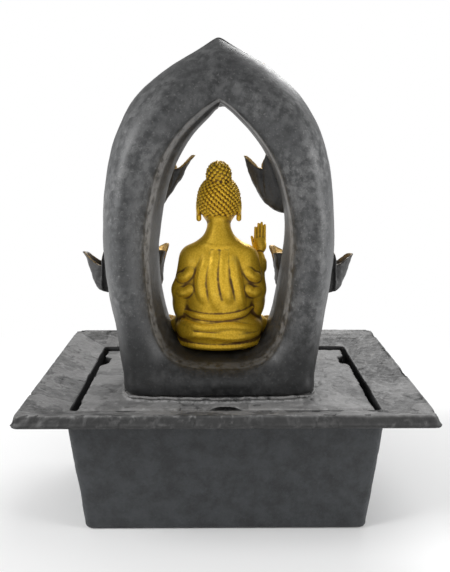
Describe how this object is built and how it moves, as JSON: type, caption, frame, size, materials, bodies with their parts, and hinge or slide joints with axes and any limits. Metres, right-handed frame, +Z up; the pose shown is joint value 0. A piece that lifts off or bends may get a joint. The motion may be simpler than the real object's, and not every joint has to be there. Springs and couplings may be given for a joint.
{
  "type": "tabletop water fountain",
  "caption": "Tabletop water fountain: slate-look basin and cover, hollow pointed arch with lotus bowls down its front, seated gold figure in the opening, and a small submersible pump.",
  "frame": {"origin": "centre of the basin's underside, at the middle of the rim's width and depth", "axes": "+Z up; -Y towards the front, where the bowls are and the figure faces; +X to the right as seen from the front"},
  "size_m": [0.21, 0.17, 0.26],
  "materials": {
    "slate": "matt cast resin finished as dark grey slate, with a lighter dry-brushed top",
    "arch": "cast resin, mottled dark grey with lighter sponged patches, slight sheen",
    "petal": "charcoal cast resin with gold dry-brushed petal edges",
    "gold": "cast resin painted antique gold, darker in the recesses",
    "hose": "clear soft hose",
    "pump_black": "fine moulded texture",
    "pump_blue": "smooth moulding",
    "ceramic": "ground",
    "rubber": "matt"
  },
  "bodies": {
    "basin": {"basin": "slate", "pump_motor": "pump_black", "pump_chamber": "pump_black", "chamber_seal": "rubber", "rotor_shaft": "ceramic", "front_bush": "rubber", "rear_bush": "rubber", "cord_gland": "rubber", "suction_cup_1": "rubber", "suction_cup_2": "rubber", "suction_cup_3": "rubber", "suction_cup_4": "rubber"},
    "cover": {"cover_plate": "slate", "arch_shell": "arch", "arch_face": "arch", "seat_mound": "arch", "seated_figure": "gold", "top_bowl": "petal", "upper_bowl_left": "petal", "upper_bowl_right": "petal", "lower_bowl_left": "petal", "lower_bowl_right": "petal", "bottom_bowl": "petal", "riser_hose": "hose", "spout_nozzle": "pump_black"},
    "rotor": {"impeller": "pump_blue"},
    "strainer": {"strainer_cover": "pump_black"},
    "dial": {"flow_dial": "pump_blue"}
  },
  "joints": [
    {"name": "cover_lift", "type": "slide", "parent": "basin", "child": "cover", "axis": [0, 0, 1], "range_m": [0, 0.08]},
    {"name": "impeller_spin", "type": "hinge", "parent": "basin", "child": "rotor", "pos_m": [-0.042, 0.022, 0.027], "axis": [1, 0, 0], "continuous": true},
    {"name": "strainer_pull", "type": "slide", "parent": "basin", "child": "strainer", "axis": [1, 0, 0], "range_m": [0, 0.02]},
    {"name": "dial_turn", "type": "hinge", "parent": "strainer", "child": "dial", "pos_m": [-0.031, 0.022, 0.027], "axis": [1, 0, 0], "range_deg": [0, 90]}
  ]
}
